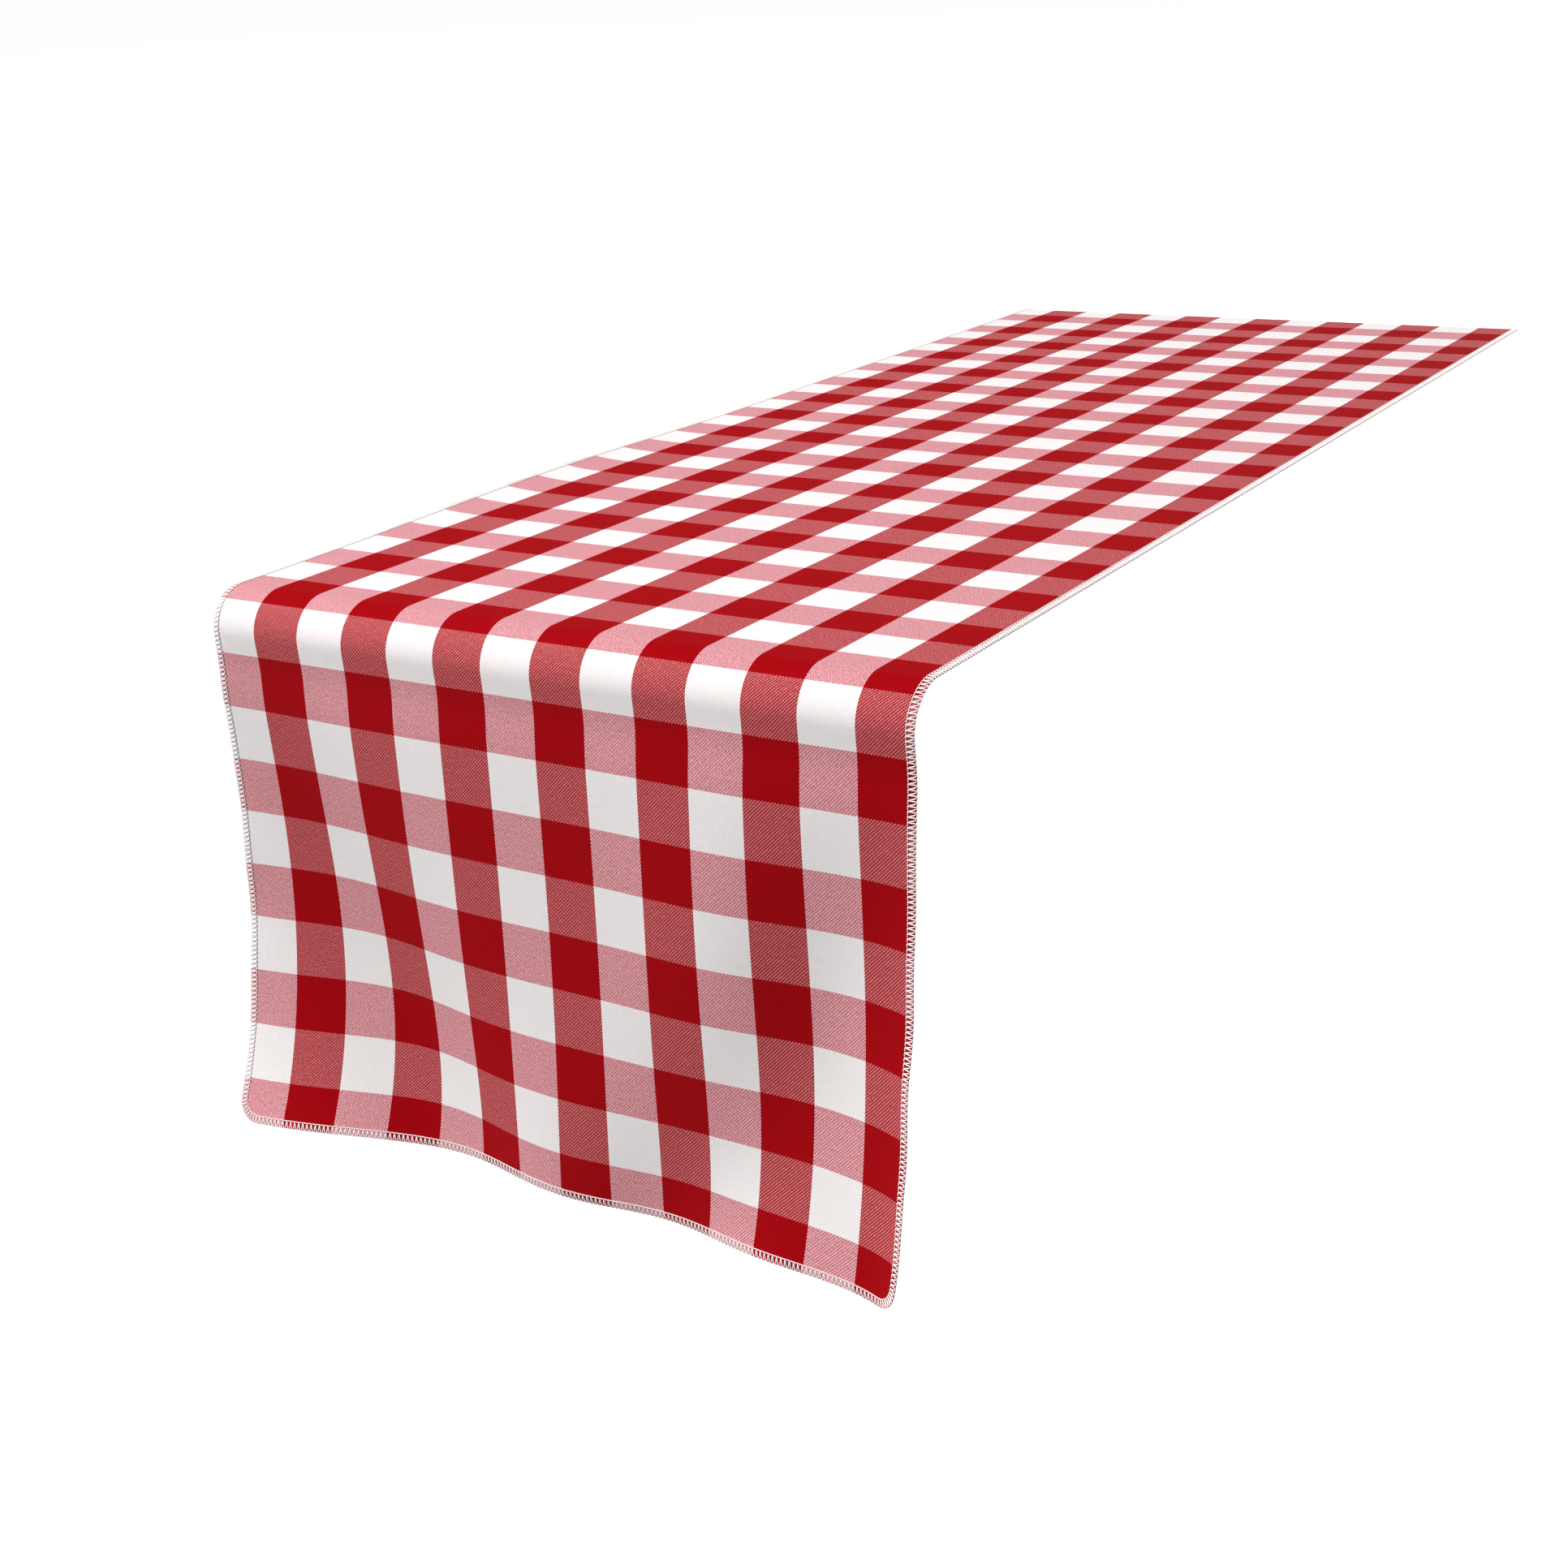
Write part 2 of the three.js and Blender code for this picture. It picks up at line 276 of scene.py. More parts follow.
def liveliness(across, along):
    """Small lifts of the edges, square to the cloth."""
    low, high = EDGE_LIFT_SPAN
    way = np.clip((along - low) / (high - low), 0, 1)
    near_left = np.exp(-(HALF_WIDTH + across) / EDGE_LIFT_WIDTH)
    lifted = EDGE_LIFT * np.sin(math.pi * way) ** 2 * near_left
    from_edge = HALF_WIDTH - np.abs(across)
    out_of_step = 2 * np.sign(across)  # so the two edges don't wave alike
    wave = sum(
        np.sin(2 * math.pi * along / length + out_of_step) for length in RIPPLE_LENGTHS)
    past_bend = -along - HALF_FLAT - BEND_LENGTH
    hanging = np.clip(1 + past_bend / BEND_LENGTH, 0, 1)
    tucked = TUCK * np.exp(-(((past_bend - TUCK_PLACE) / TUCK_LENGTH) ** 2))
    return lifted + RIPPLE * wave * hanging * np.exp(-from_edge / RIPPLE_WIDTH) - tucked


def lay(across, along, lift):
    """Lay points of the flat cloth, each `lift` above the middle of its thickness."""
    middle = mid_surface(across, along)
    sideways = mid_surface(across + NEARBY, along) - mid_surface(across - NEARBY, along)
    lengthways = mid_surface(across, along + NEARBY) - mid_surface(across, along - NEARBY)
    normal = np.cross(sideways, lengthways)
    normal /= np.linalg.norm(normal, axis=1, keepdims=True)
    return middle + normal * (lift + liveliness(across, along))[:, None]


corners = lay(np.array([-HALF_WIDTH, HALF_WIDTH]), np.full(2, FRONT_HEM), np.zeros(2))
print("lower corners of the drop at", np.round(corners, 3).tolist())

# %% [markdown]
# ## The cloth
#
# The real cloth is one woven rectangle with rounded corners. It starts here the same way: as
# a flat grid of the cut size. The grid's rows are close together where the cloth has to turn
# tightly, at the table's end and at the corners, and wide apart where it lies flat. The ends
# of the rows near a hem are drawn in along a quarter circle, which rounds the corners without
# cutting anything.
#
# Before it is laid, each corner of each face writes down where it is on the flat cloth, as
# its UV, measured in checks. The woven pattern reads that, so it bends with the cloth and
# never slides.

# %% Helpers for making and reading meshes
def nothing_selected():
    """Deselect everything, so that the next operator acts on the new piece alone."""
    bpy.ops.object.select_all(action="DESELECT")


def points_of(mesh):
    """The places of a mesh's vertices, as an array."""
    co = np.empty(len(mesh.vertices) * 3)
    mesh.vertices.foreach_get("co", co)
    return co.reshape(-1, 3)


def move_points(mesh, points):
    """Give a mesh's vertices new places."""
    mesh.vertices.foreach_set("co", np.ascontiguousarray(points, np.float32).ravel())
    mesh.update()


def vertex_of_each_corner(mesh):
    """Which vertex each corner of each face stands on, as a UV map counts them."""
    numbers = np.empty(len(mesh.loops), int)
    mesh.loops.foreach_get("vertex_index", numbers)
    return numbers


print("helpers ready, and", len(bpy.data.meshes), "meshes so far, the frame's and the floor's")

# %% Where the rows of the flat cloth go
WRAP = 0.0003  # the threads reach this far past the cut edge of the cloth
ROWS = {"corner": 8, "drop": 54, "bend": 30, "flat": 104, "back": 6}
ROWS_CLOSE_UP = 0.004  # before the bend, measured on the cloth
ROWS_OPEN_OUT = 0.006  # after it
BACK_ROWS = 0.012  # before the far end of the flat stretch

hem_front, hem_back = FRONT_HEM + WRAP, BACK_HEM - WRAP
corner = CORNER_RADIUS - WRAP
corner_steps = corner * (1 - np.cos(np.linspace(0, math.pi / 2, ROWS["corner"])))
below_bend = -HALF_FLAT - BEND_LENGTH - ROWS_OPEN_OUT
before_bend = -HALF_FLAT + ROWS_CLOSE_UP
before_back = HALF_FLAT - BACK_ROWS
rows = np.unique(np.round(np.concatenate([
    hem_front + corner_steps,
    np.linspace(hem_front + corner, below_bend, ROWS["drop"]),
    np.linspace(below_bend, before_bend, ROWS["bend"]),
    np.linspace(before_bend, before_back, ROWS["flat"]),
    np.linspace(before_back, hem_back - corner, ROWS["back"]),
    hem_back - corner_steps,
]), 7))
print(f"{len(rows)} rows, from {np.diff(rows).min() * 1000:.2f} mm apart"
      f" to {np.diff(rows).max() * 1000:.2f} mm")

# %% Cut the cloth flat
CHECK = 0.0254
FIRST_CHECK = 0.38455  # from the middle of the flat stretch back to a check boundary
CLOTH_COLUMNS = 90

nothing_selected()
bpy.ops.mesh.primitive_grid_add(  # from -1 to 1 each way
    x_subdivisions=CLOTH_COLUMNS, y_subdivisions=len(rows) - 1, size=2, calc_uvs=True
)
cloth = bpy.context.object
cloth.name = "gingham_runner"
flat = points_of(cloth.data)
row_of_point = np.round((flat[:, 1] + 1) / 2 * (len(rows) - 1)).astype(int)
along = rows[row_of_point]
from_hem = np.minimum(np.minimum(along - hem_front, hem_back - along), corner)
half_row = HALF_WIDTH - WRAP - corner + np.sqrt(
    np.maximum(corner**2 - (corner - from_hem) ** 2, 0))
across = flat[:, 0] * half_row

checks = cloth.data.uv_layers[0]
checks.name = "checks"
in_checks = np.stack([across + HALF_WIDTH, along + FIRST_CHECK], axis=1) / CHECK
in_checks = in_checks[vertex_of_each_corner(cloth.data)]
checks.data.foreach_set("uv", in_checks.astype(np.float32).ravel())
print("flat cloth:", len(cloth.data.polygons), "faces in", len(rows) - 1, "rows")

# %% [markdown]
# The flat grid is now laid by the rule. It is still a surface with no thickness. A Solidify
# modifier gives it the cloth's half millimetre, half to each side, and closes it along the
# cut edge. Its material offset gives the back of the cloth a finish of its own, because the
# two sides of a twill look different.

# %% Lay the cloth and give it its thickness
SHARP_EDGE = math.radians(50)  # past this the shading breaks, as it does at the cut edge

move_points(cloth.data, lay(across, along, np.zeros(len(across))))
solid = cloth.modifiers.new("thickness", "SOLIDIFY")
solid.thickness = THICKNESS
solid.offset = 0
solid.use_even_offset = True
solid.material_offset = 1
cloth.data.materials.append(None)
cloth.data.materials.append(None)
bpy.ops.object.modifier_apply(modifier=solid.name)
bpy.ops.object.shade_smooth_by_angle(angle=SHARP_EDGE)
print("laid cloth:", len(cloth.data.polygons), "faces, its lowest corner at",
      np.round(points_of(cloth.data).min(0), 3).tolist())

# %% [markdown]
# ## The overlocked edge
#
# An overlock machine trims the edge and sews it with three threads at once. The needle thread
# runs in short straight stitches 4 mm from the edge. The upper looper thread lies on the good
# face: it goes from each needle stitch out to the edge and back, in a narrow loop. The lower
# looper thread does the same on the back, and the two hook into each other along the cut
# edge.
#
# There are more than a thousand stitches, so one of each is made and copied. A stitch starts
# as a straight piece of thread: an open six-sided cylinder, subdivided along its length. An
# Array modifier lines the copies up in a row as long as the whole edge, and joins them end to
# end. The row is then bent into loops, and the looped row is led round the edge of the flat
# cloth and laid over the table by the same rule as the cloth, so thread and cloth can't part.

# %% How many stitches go round
STITCH_PITCH = 0.0021
straight_side = BACK_HEM - FRONT_HEM - 2 * CORNER_RADIUS
straight_hem = 2 * (HALF_WIDTH - CORNER_RADIUS)
quarter = math.pi / 2 * CORNER_RADIUS
edge_length = 2 * (straight_side + straight_hem) + 4 * quarter
STITCHES = round(edge_length / STITCH_PITCH)
pitch = edge_length / STITCHES
print(f"{STITCHES} stitches of {pitch * 1000:.3f} mm round {edge_length:.3f} m of edge")


# %% A walk round the edge of the flat cloth
def round_the_edge(distance):
    """The place on the flat cloth's edge after a distance, and the way inwards from there.
    It starts in the middle of the back hem and goes to the left."""
    distance = distance % edge_length
    reach_x, reach_y = HALF_WIDTH - CORNER_RADIUS, straight_side / 2
    middle = (BACK_HEM + FRONT_HEM) / 2
    place, inward = np.zeros((len(distance), 2)), np.zeros((len(distance), 2))
    begun = 0.0
    heading = math.pi  # of the walk, as an angle from +X
    start = np.array([0.0, reach_y + CORNER_RADIUS])
    for length, next_corner in [
        (reach_x, (-reach_x, reach_y)),
        (straight_side, (-reach_x, -reach_y)),
        (straight_hem, (reach_x, -reach_y)),
        (straight_side, (reach_x, reach_y)),
        (reach_x, None),
    ]:
        ahead = np.array([math.cos(heading), math.sin(heading)])
        on_side = (distance >= begun) & (distance <= begun + length)
        place[on_side] = start + ahead * (distance[on_side] - begun)[:, None]
        inward[on_side] = (-ahead[1], ahead[0])
        begun += length
        if next_corner is None:
            break
        on_corner = (distance > begun) & (distance < begun + quarter)
        turn = heading + (distance[on_corner] - begun) / CORNER_RADIUS - math.pi / 2
        spoke = np.stack([np.cos(turn), np.sin(turn)], axis=1)
        place[on_corner] = np.array(next_corner) + CORNER_RADIUS * spoke
        inward[on_corner] = -spoke
        heading += math.pi / 2
        start = np.array(next_corner) + CORNER_RADIUS * np.array(
            [math.sin(heading), -math.cos(heading)])
        begun += quarter
    return place + np.array([0, middle]), inward


quarters = np.linspace(0, edge_length, 5)[:4]
print("places a quarter of the way apart:", np.round(round_the_edge(quarters)[0], 3).tolist())

# %% A row of straight thread, one piece for each stitch
THREAD_SIDES = 6
RINGS_IN_A_STITCH = 8
MERGE_IN_ROW = 1e-5  # the ends of two copies closer than this become one ring


def straight_row(name, radius):
    """A straight thread along X, as long as the edge, with a UV of (turns round it, stitches)."""
    nothing_selected()
    bpy.ops.mesh.primitive_cylinder_add(
        vertices=THREAD_SIDES, radius=radius, depth=pitch, end_fill_type="NOTHING",
        location=(pitch / 2, 0, 0), rotation=(0, math.pi / 2, 0),
    )
    row = bpy.context.object
    row.name = name
    bpy.ops.object.transform_apply(location=True, rotation=True, scale=True)
    ends = points_of(row.data)[:, 0]
    bpy.ops.object.mode_set(mode="EDIT")
    bpy.ops.mesh.select_mode(type="EDGE")
    bpy.ops.mesh.select_all(action="DESELECT")
    bpy.ops.object.mode_set(mode="OBJECT")
    for edge in row.data.edges:
        first, last = edge.vertices
        edge.select = bool(abs(ends[first] - ends[last]) > pitch / 2)
    bpy.ops.object.mode_set(mode="EDIT")
    bpy.ops.mesh.subdivide(number_cuts=RINGS_IN_A_STITCH - 1)
    bpy.ops.object.mode_set(mode="OBJECT")
    copies = row.modifiers.new("stitches", "ARRAY")
    copies.count = STITCHES
    copies.use_relative_offset = False
    copies.use_constant_offset = True
    copies.constant_offset_displace = (pitch, 0, 0)
    copies.use_merge_vertices = True
    copies.merge_threshold = MERGE_IN_ROW
    bpy.ops.object.modifier_apply(modifier=copies.name)

    layer = row.data.uv_layers[0]
    layer.name = "thread"
    uv = np.empty(len(row.data.loops) * 2)
    layer.data.foreach_get("uv", uv)
    uv = uv.reshape(-1, 2)
    uv[:, 1] = points_of(row.data)[vertex_of_each_corner(row.data), 0] / pitch
    layer.data.foreach_set("uv", uv.ravel())
    return row


print(f"each row will have {THREAD_SIDES * RINGS_IN_A_STITCH * STITCHES} faces")


# %% [markdown]
# Each thread's path within a stitch is a short formula. `way` goes from 0 to 1 along the
# stitch. It gives the distance along the edge, the distance in from the edge, and the height
# above the middle of the cloth. A looper's loop comes to a point at the needle line, leans
# along the edge on its way out, and turns round more widely at the cut edge, where each loop
# reaches the next. So the edge is a nearly closed white line, and small wedges of cloth show
# inside it.

# %% The three paths
STITCH_WIDTH = 0.0037  # from the cut edge to the middle of the needle line
NEEDLE_RADIUS = 0.00024
LOOPER_RADIUS = 0.00023
LOOPER_SPREAD = 1.15  # a looper's soft thread lies flat, wider than it is thick
LOOP_REACH = 1.5  # above 1, a loop turns wider at the cut edge than at the needle line
LOOP_SPAN = 0.05  # how far each leg of a loop bows outwards, as a share of a stitch
LOOP_SLANT = 0.35  # how far a loop leans along the edge, as a share of a stitch
LOOP_MARGIN = 0.0001  # a loop stops this far short of the needle line and of the cut edge
LOOPER_SEAT = 0.7  # how high a looper's middle lies above the cloth's face, in its radii
HOOK_HEIGHT = 0.00008  # of a looper's middle above the cloth's, where two loopers hook together
HOOK_SHARPNESS = 5
NEEDLE_TOP = 0.00026  # how far a needle stitch's middle lies above the good face
NEEDLE_BOTTOM = 0.00012  # and how far it reaches below the back, where it dips
NEEDLE_HOLE = 0.10  # half the length of the dip, as a share of a stitch


def looper_path(way, face):
    """A loop out to the edge and back. `face` is 1 on the good face and -1 on the back."""
    swing = (1 - np.cos(2 * math.pi * way)) / 2
    out = 1 - (1 - swing) ** LOOP_REACH
    along_edge = way - LOOP_SPAN * np.sin(2 * math.pi * way) + LOOP_SLANT * (swing - 0.5) * face
    inset = STITCH_WIDTH - LOOP_MARGIN - (STITCH_WIDTH - 2 * LOOP_MARGIN) * out
    resting = THICKNESS / 2 + LOOPER_SEAT * LOOPER_RADIUS
    height = face * (resting - (resting - HOOK_HEIGHT) * out**HOOK_SHARPNESS)
    return np.stack([along_edge * pitch, inset, height], axis=1)


def needle_path(way):
    """A straight stitch on the good face that dips through the cloth at both ends."""
    hole = np.exp(-((np.minimum(way, 1 - way) / NEEDLE_HOLE) ** 2))
    top = THICKNESS / 2 + NEEDLE_TOP
    bottom = -THICKNESS / 2 - NEEDLE_BOTTOM
    height = top + (bottom - top) * hole
    return np.stack([way * pitch, np.full_like(way, STITCH_WIDTH), height], axis=1)


print("a needle stitch's height over the middle of the cloth, in mm:",
      np.round(needle_path(np.linspace(0, 1, 5))[:, 2] * 1000, 2).tolist())

# %% Sewing: bend a row into stitches, lead it round the edge and lay it
UPWARDS = np.array([0, 0, 1])
SMALL_WAY = 1e-3  # a small part of a stitch, to see which way the thread runs
ROUNDING = 1e-6  # nudges a ring on the border of two stitches into the later one


def sew(name, radius, path, spread=1.0, phase=0.0):
    """Sew one thread round the whole edge. `phase` starts it part of a stitch later. Its two ends
    meet in the middle of the back hem, and aren't joined there."""
    row = straight_row(name, radius)
    straight = points_of(row.data)
    stitch = straight[:, 0] / pitch + phase
    number, way = np.floor(stitch + ROUNDING), (stitch + ROUNDING) % 1
    centre = path(way)
    ahead = path((way + SMALL_WAY) % 1) - path((way - SMALL_WAY) % 1)
    ahead[:, 0] = np.where(ahead[:, 0] > pitch / 2, ahead[:, 0] - pitch, ahead[:, 0])
    ahead[:, 0] = np.where(ahead[:, 0] < -pitch / 2, ahead[:, 0] + pitch, ahead[:, 0])
    ahead /= np.linalg.norm(ahead, axis=1, keepdims=True)
    aside = np.cross(UPWARDS, ahead)
    aside /= np.linalg.norm(aside, axis=1, keepdims=True)
    above = np.cross(ahead, aside)
    sewn = centre + aside * straight[:, 1:2] * spread + above * straight[:, 2:3]
    place, inward = round_the_edge(sewn[:, 0] + number * pitch)
    spot = place + inward * sewn[:, 1:2]
    move_points(row.data, lay(spot[:, 0], spot[:, 1], sewn[:, 2]))
    bpy.ops.object.shade_smooth()  # the row is still the only thing selected
    print(name, len(row.data.polygons), "faces")
    return row


upper_looper = sew(
    "upper_looper_row", LOOPER_RADIUS, lambda way: looper_path(way, 1), LOOPER_SPREAD)
lower_looper = sew(
    "lower_looper_row", LOOPER_RADIUS, lambda way: looper_path(way, -1), LOOPER_SPREAD, phase=0.5)
needle = sew("needle_row", NEEDLE_RADIUS, needle_path)

# %% [markdown]
# ## Finishes
#
# A material in Blender is a graph of nodes. Drawing such a graph by mouse is fine for a few
# nodes, but a weave is arithmetic, and arithmetic reads best as a formula. So a small class
# wraps a node's output and turns +, -, * and the rest into Math nodes. Colours go through Mix
# nodes.

# %% A way to write materials as formulas
class Value:
    """A number that varies over a surface. Arithmetic on it adds Math nodes."""

    def __init__(self, finish, socket):
        self.finish, self.socket = finish, socket

    def __add__(self, other):
        return self.finish.math("ADD", self, other)

    def __sub__(self, other):
        return self.finish.math("SUBTRACT", self, other)

    def __mul__(self, other):
        return self.finish.math("MULTIPLY", self, other)

    def __truediv__(self, other):
        return self.finish.math("DIVIDE", self, other)

    def __pow__(self, other):
        return self.finish.math("POWER", self, other)

    def __gt__(self, other):
        return self.finish.math("GREATER_THAN", self, other)

    def __lt__(self, other):
        return self.finish.math("LESS_THAN", self, other)

    def __radd__(self, other):
        return self.finish.math("ADD", other, self)

    def __rsub__(self, other):
        return self.finish.math("SUBTRACT", other, self)

    def __rmul__(self, other):
        return self.finish.math("MULTIPLY", other, self)

    def floor(self):
        return self.finish.math("FLOOR", self)

    def fraction(self):
        return self.finish.math("FRACT", self)

    def sine(self):
        return self.finish.math("SINE", self)


print("besides + - * / ** > and <, a number knows:",
      [word for word in vars(Value) if "_" not in word])


# %% A finish: a material with short ways to add its nodes
class Finish:
    """A material that is written as formulas."""

    def __init__(self, name):
        self.material = bpy.data.materials.new(name)
        self.material.use_nodes = True
        self.tree = self.material.node_tree
        self.surface = self.tree.nodes["Principled BSDF"]

    def node(self, kind, settings=None, inputs=None):
        """Add a node, set its settings, then its sockets' values or links."""
        node = self.tree.nodes.new(kind)
        for name, value in (settings or {}).items():
            setattr(node, name, value)
        for name, value in (inputs or {}).items():
            self.feed(node.inputs[name], value)
        return node

    def feed(self, socket, value):
        """Put a value or a link into a socket."""
        if isinstance(value, Value):
            self.tree.links.new(value.socket, socket)
        elif isinstance(value, bpy.types.NodeSocket):
            self.tree.links.new(value, socket)
        elif isinstance(value, tuple):  # a vector socket takes a colour without its alpha
            socket.default_value = value[:len(socket.default_value)]
        else:
            socket.default_value = value

    def math(self, operation, *numbers):
        """One Math node."""
        node = self.node("ShaderNodeMath", {"operation": operation}, dict(enumerate(numbers)))
        return Value(self, node.outputs[0])

    def mix(self, share, colour_a, colour_b):
        """Colour a where share is 0 and colour b where it is 1."""
        node = self.node(
            "ShaderNodeMix", {"data_type": "RGBA"}, {0: share, 6: colour_a, 7: colour_b})
        return node.outputs[2]

    def shaded(self, colour, painted_shade_and_tone):
        """A colour made brighter or darker by a number."""
        node = self.node(
            "ShaderNodeVectorMath", {"operation": "SCALE"}, {0: colour, "Scale": painted_shade_and_tone})
        return node.outputs[0]

    def map(self, name):
        """The two numbers of one of the piece's own UV maps."""
        uv = self.node("ShaderNodeUVMap", {"uv_map": name}).outputs[0]
        parts = self.node("ShaderNodeSeparateXYZ", inputs={0: uv})
        return Value(self, parts.outputs[0]), Value(self, parts.outputs[1])

    def noise(self, x, y, scale, detail):
        """Smooth noise from 0 to 1, round about 0.5."""
        place = self.node("ShaderNodeCombineXYZ", inputs={0: x, 1: y})
        noise = self.node(
            "ShaderNodeTexNoise", {"noise_dimensions": "2D"},
            {"Vector": place.outputs[0], "Scale": scale, "Detail": detail})
        return Value(self, noise.outputs[0])

    def relief(self, height, depth, strength):
        """Small relief of the surface, `depth` metres from 0 to 1."""
        bump = self.node(
            "ShaderNodeBump", inputs={"Height": height, "Distance": depth, "Strength": strength})
        self.feed(self.surface.inputs["Normal"], bump.outputs[0])

    def constants(self, **values):
        """Set the shader's own sockets, for what is the same all over."""
        for name, value in values.items():
            self.surface.inputs[name.replace("_", " ")].default_value = value


print("a finish knows:", [word for word in vars(Finish) if "_" not in word])

# %% [markdown]
# ### Floor
#
# The floor has the plainest finish, and shows how the others begin: a named material, whose
# shader's own sockets take what is the same all over. It has no texture, because it is only
# there to be pale, and its glow makes it as white as the room.

# %% The floor's finish
FLOOR_COLOUR = (0.93, 0.93, 0.92, 1)
FLOOR_GLOW = 0.95

pale = Finish("pale_floor")
pale.constants(
    Base_Color=FLOOR_COLOUR, Roughness=0.9, Specular_IOR_Level=0.1,
    Emission_Color=FLOOR_COLOUR, Emission_Strength=FLOOR_GLOW,
)
floor.data.materials.append(pale.material)
print("floor:", floor.data.materials[0].name)

# %% [markdown] ### Gingham  Gingham is dyed in the yarn, not printed. Red and white stripes
# in the lengthwise warp cross red and white stripes in the crosswise weft. This cloth is a
# 2/1 twill: each warp yarn passes over two weft yarns and under one, a step further on every
# row. So the warp shows on two thirds of the good face, the two mixtures differ, and fine
# diagonal ribs run up to the right. On the back it is the weft that shows on two thirds. A
# picture of gingham could be wrapped on the cloth, but a formula has no edge and no largest
# size. It counts yarns across and along, asks at each crossing which yarn is on top, and
# colours that one. A yarn also takes on some of the colour of its neighbours, because light
# passes through both. So each of the two mixtures has its own pair of tints, and the yarns in
# it are a little uneven.

# %% The colours of the yarns, and how even they are
YARNS_IN_A_CHECK = 51
RED = (0.36, 0.0, 0.003, 1)
WHITE = (0.93, 0.895, 0.895, 1)
RED_WARP_BY_WHITE = (0.40, 0.022, 0.030, 1)
WHITE_WEFT_BY_RED = (0.68, 0.25, 0.26, 1)
WHITE_WARP_BY_RED = (0.79, 0.42, 0.455, 1)
RED_WEFT_BY_WHITE = (0.52, 0.10, 0.13, 1)

TWILL_REPEAT = 3
FIRST_STEP = 0.17  # of the repeat, between its first yarn at 0 and its second at a third
WEFT_ROUNDNESS = 0.8  # a weft yarn lies flatter than a warp yarn
WEAVE_DEPTH, WEAVE_STRENGTH = 0.00012, 0.55
# a yarn's colour at its sides, with painted shade, and the painted highlight added on its crown
SHADED_SIDE_LEVEL, PAINTED_CROWN_HIGHLIGHT = 0.86, 0.10  # of a yarn's side, and how much its crown adds
MOTTLING = 0.06
STREAKINESS, SLUBBINESS = 0.20, 1.1
WARP_APART, WEFT_APART = 0.73, 0.61  # how far apart two neighbouring yarns read their noise
ALONG_YARN = 1.6  # how fast a yarn's streaks change along it, in checks
SLUB_ACROSS, SLUB_ALONG = 0.9, 0.35
SLUB_LIMIT, FLECK = 0.62, 0.22  # a weft yarn thicker than this is a light fleck on red warp
PURE_SHARE = 0.10  # how much of the unevenness shows in a check of one colour
WOVEN_ROUGHNESS, STREAK_ROUGHNESS, RED_SMOOTHNESS = 0.72, 0.12, 0.10
print("one yarn in", round(CHECK / YARNS_IN_A_CHECK * 1000, 3), "mm")


# %% The gingham finish
def odd(number):
    """1 where a whole number is odd, and 0 where it is even."""
    return (number / 2).fraction() > 0.25


def gingham(name, good_face):
    """The woven finish of the good face, or of the back."""
    weave = Finish(name)
    u, v = weave.map("checks")
    warp, weft = u * YARNS_IN_A_CHECK, v * YARNS_IN_A_CHECK
    warp_number, weft_number = warp.floor(), weft.floor()
    across_warp, across_weft = warp.fraction(), weft.fraction()

    step = ((warp_number - weft_number) / TWILL_REPEAT).fraction()
    weft_on_top = step < FIRST_STEP if good_face else step > FIRST_STEP
    warp_red, weft_red = odd(u.floor()), odd(v.floor())
    top_red = warp_red + weft_on_top * (weft_red - warp_red)

    warp_streaks = weave.noise(warp_number * WARP_APART, v * ALONG_YARN, scale=1.0, detail=2.0)
    weft_streaks = weave.noise(weft_number * WEFT_APART, u * ALONG_YARN, scale=1.3, detail=2.0)
    streaks = warp_streaks + weft_on_top * (weft_streaks - warp_streaks)
    mottle = weave.noise(u, v, scale=9.0, detail=3.0)
    slubs = weave.noise(warp * SLUB_ACROSS, weft * SLUB_ALONG, scale=1.0, detail=3.0)

    warp_round = 1 - (2 * across_warp - 1) ** 2
    weft_round = 1 - (2 * across_weft - 1) ** 2
    roundness = warp_round + weft_on_top * (WEFT_ROUNDNESS * weft_round - warp_round)

    pure = weave.mix(top_red, WHITE, RED)
    rose = weave.mix(weft_on_top, WHITE_WARP_BY_RED, RED_WEFT_BY_WHITE)
    brick = weave.mix(weft_on_top, RED_WARP_BY_WHITE, WHITE_WEFT_BY_RED)
    mixed = (warp_red - weft_red) ** 2
    colour = weave.mix(mixed, pure, weave.mix(warp_red, rose, brick))
    fleck = (slubs > SLUB_LIMIT) * warp_red * weft_on_top
    unevenness = STREAKINESS * (streaks - 0.5) + SLUBBINESS * (slubs - 0.5) + FLECK * fleck
    # painted shade between the yarns and a painted highlight on their crowns, with the yarns' own
    # uneven tone
    painted_shade_and_tone = SHADED_SIDE_LEVEL + PAINTED_CROWN_HIGHLIGHT * roundness + MOTTLING * (mottle - 0.5)
    painted_shade_and_tone = painted_shade_and_tone + (PURE_SHARE + (1 - PURE_SHARE) * mixed) * unevenness
    roughness = WOVEN_ROUGHNESS + STREAK_ROUGHNESS * streaks - RED_SMOOTHNESS * top_red
    weave.feed(weave.surface.inputs["Base Color"], weave.shaded(colour, painted_shade_and_tone))
    weave.feed(weave.surface.inputs["Roughness"], roughness)
    weave.relief(roundness, WEAVE_DEPTH, WEAVE_STRENGTH)
    weave.constants(Sheen_Weight=0.005, Sheen_Roughness=0.5, Specular_IOR_Level=0.03)
    return weave.material


cloth.data.materials[0] = gingham("gingham_good_face", good_face=True)
cloth.data.materials[1] = gingham("gingham_back", good_face=False)
print("gingham:", len(cloth.data.materials[0].node_tree.nodes), "nodes a face")
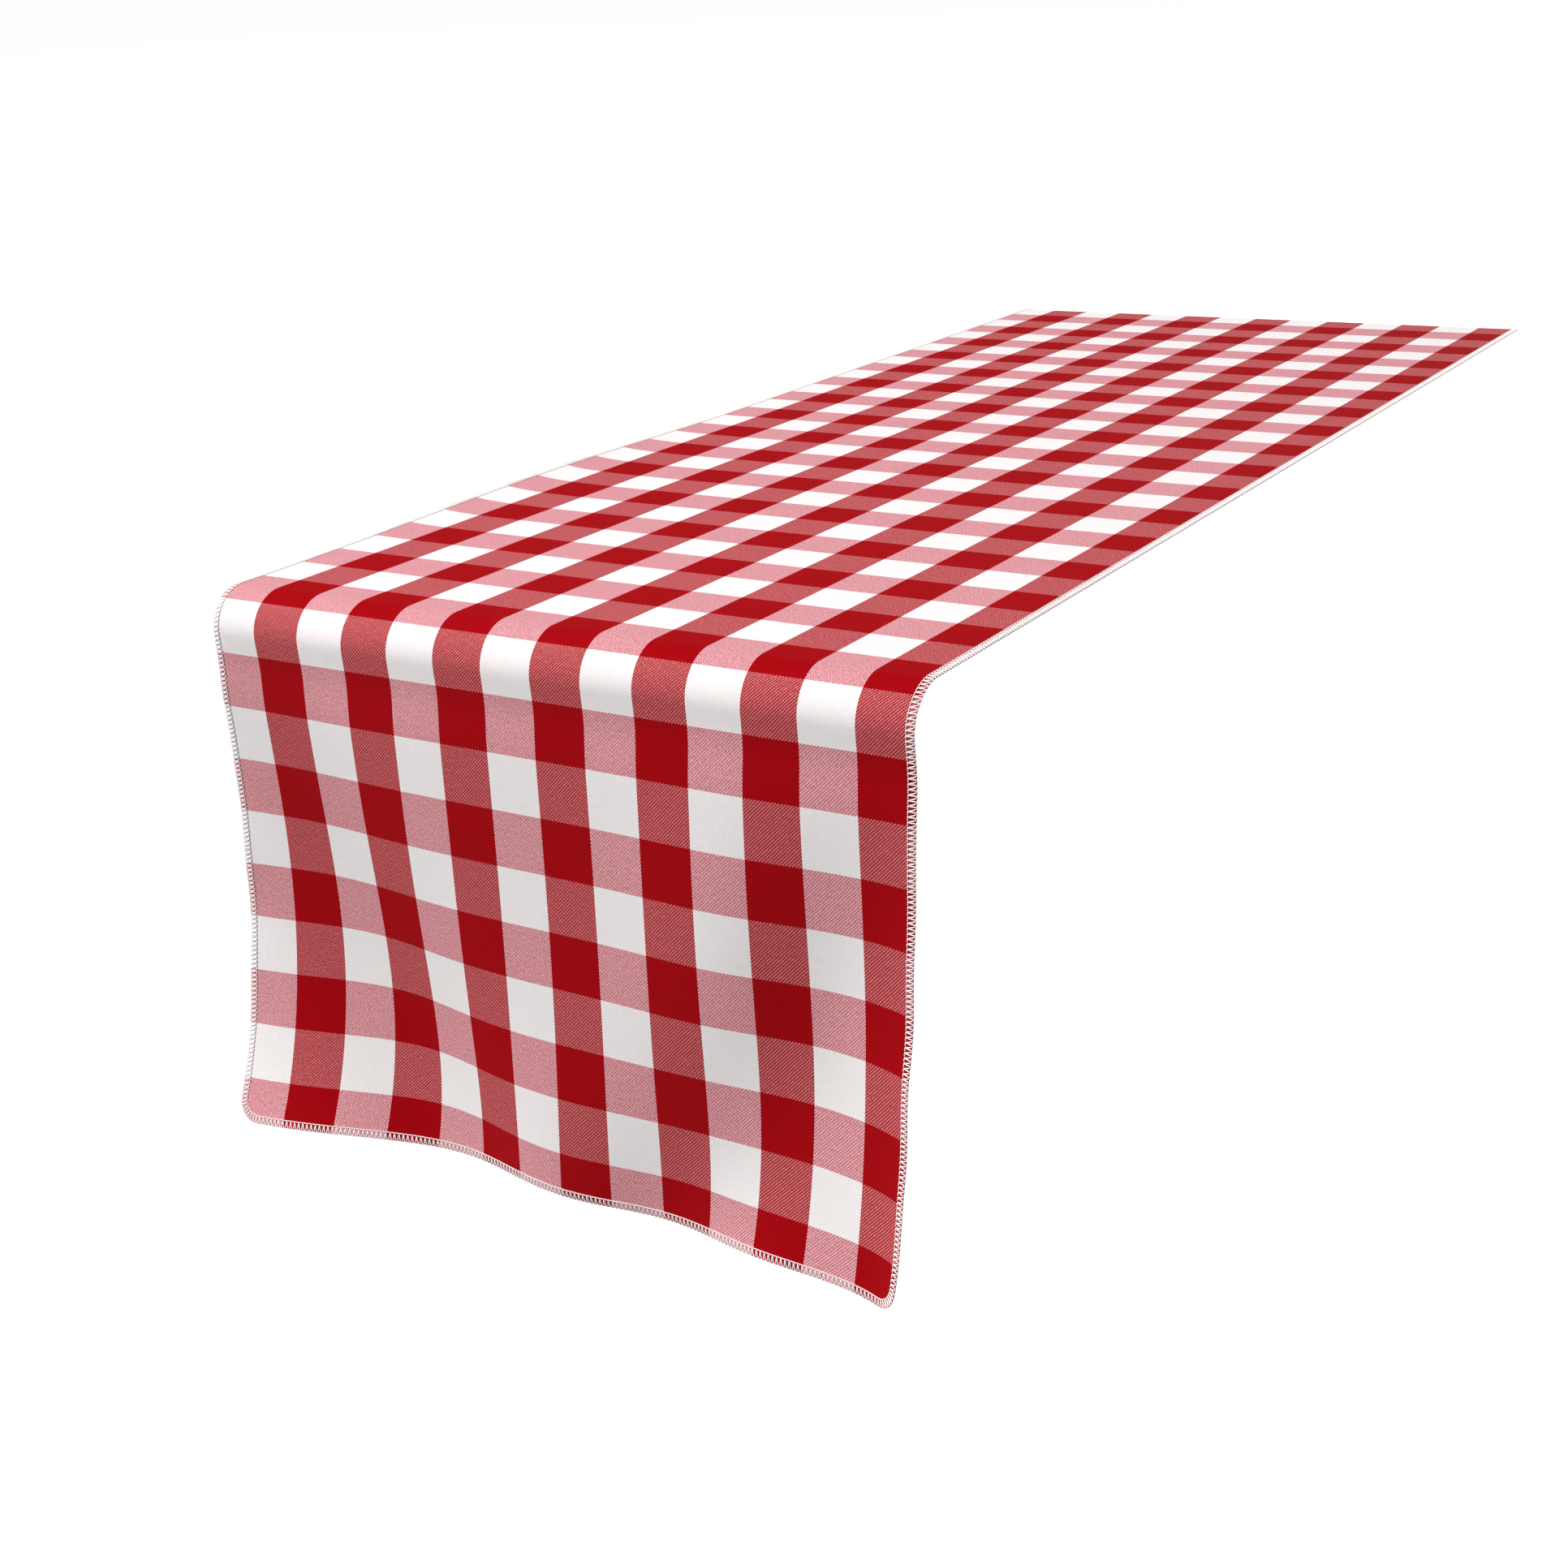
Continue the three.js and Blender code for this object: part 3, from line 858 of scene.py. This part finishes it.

# %% [markdown]
# ### Thread
#
# The threads are off-white polyester. The needle thread is hard and spun from two plies,
# which show as fine slanting ridges. The loopers carry a softer, fluffier thread, so its
# ridges are blurred by noise. The colour is painted darker in the grooves and lighter on the
# ridges: painted shade and a painted highlight. A bump made from stripes in space would slide
# over a thread that turns back and forth, so both read the thread's own UV: turns round the
# thread, and stitches along it.

# %% The thread finishes
NEEDLE_COLOUR = (0.93, 0.88, 0.88, 1)
LOOPER_COLOUR = (0.95, 0.92, 0.92, 1)
TWIST_DEPTH, TWIST_STRENGTH = 0.00006, 0.6
FUZZ_AROUND, FUZZ_ALONG = 3, 5  # how fine the fluff is round the thread and in a stitch
# the colour in a groove, with painted shade, and the painted highlight added on a ridge
SHADED_GROOVE_LEVEL, PAINTED_RIDGE_HIGHLIGHT = 0.82, 0.22
THREAD_ROUGHNESS, FLUFF_ROUGHNESS = 0.62, 0.2


def thread_finish(name, colour, plies, twist, fluff):
    """Twisted thread: `plies` ridges that go round `twist` times in a stitch."""
    thread = Finish(name)
    around, along_thread = thread.map("thread")
    ridge = ((around * plies + along_thread * twist) * 2 * math.pi).sine() * 0.5 + 0.5
    fuzz = thread.noise(
        around * FUZZ_AROUND, along_thread * FUZZ_ALONG, scale=1.5, detail=3.0)
    height = (1 - fluff) * ridge + fluff * fuzz
    # painted shade where the twist and fluff are low, and a painted highlight where they are high
    painted_shade_and_tone = SHADED_GROOVE_LEVEL + PAINTED_RIDGE_HIGHLIGHT * height
    thread.feed(thread.surface.inputs["Base Color"], thread.shaded(colour, painted_shade_and_tone))
    thread.feed(thread.surface.inputs["Roughness"], THREAD_ROUGHNESS + FLUFF_ROUGHNESS * fuzz)
    thread.relief(height, TWIST_DEPTH, TWIST_STRENGTH)
    thread.constants(Sheen_Weight=0.05, Specular_IOR_Level=0.2)
    return thread.material


needle.data.materials.append(
    thread_finish("needle_thread", NEEDLE_COLOUR, plies=2, twist=2, fluff=0.25))
for looper in (upper_looper, lower_looper):
    looper.data.materials.append(
        thread_finish(looper.name + "_thread", LOOPER_COLOUR, plies=2, twist=3, fluff=0.6))
print("finishes:", sorted(m.name for m in bpy.data.materials if m.users))

# %% [markdown]
# ## The pieces and the frame's solids
#
# In the frame the drop turns on a hinge at the foot of the bend, which stands for the cloth's
# own bending. Real cloth doesn't fold on a line there. Each piece here has its placing baked
# into its mesh, and the solids of the frame that it stands for are hidden.

# %% Stand in for the frame's solids
TURNS_ABOVE, TURNS_BELOW = 0.012, 0.014  # how far from the hinge line the turning reaches
BLEND_START = (0, hinge[1], hinge[2] + TURNS_ABOVE)
BLEND_END = (0, hinge[1], hinge[2] - TURNS_BELOW)
CLOTH_NODES = ["cloth_top_run", "cloth_front_bend", "cloth_front_drop", "cloth_back_end"]
PLACES = ["left_run", "right_run", "front_drop", "back_end"]

for piece, slot, nodes in [
    (cloth, "gingham_cloth", CLOTH_NODES),
    (needle, "needle_thread", [f"needle_thread_{place}" for place in PLACES]),
    (upper_looper, "looper_thread", [f"upper_looper_thread_{place}" for place in PLACES]),
    (lower_looper, "looper_thread", [f"lower_looper_thread_{place}" for place in PLACES]),
]:
    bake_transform(piece)
    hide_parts(*nodes)
    print(piece.name, "stands for", len(nodes), "solids of the frame")
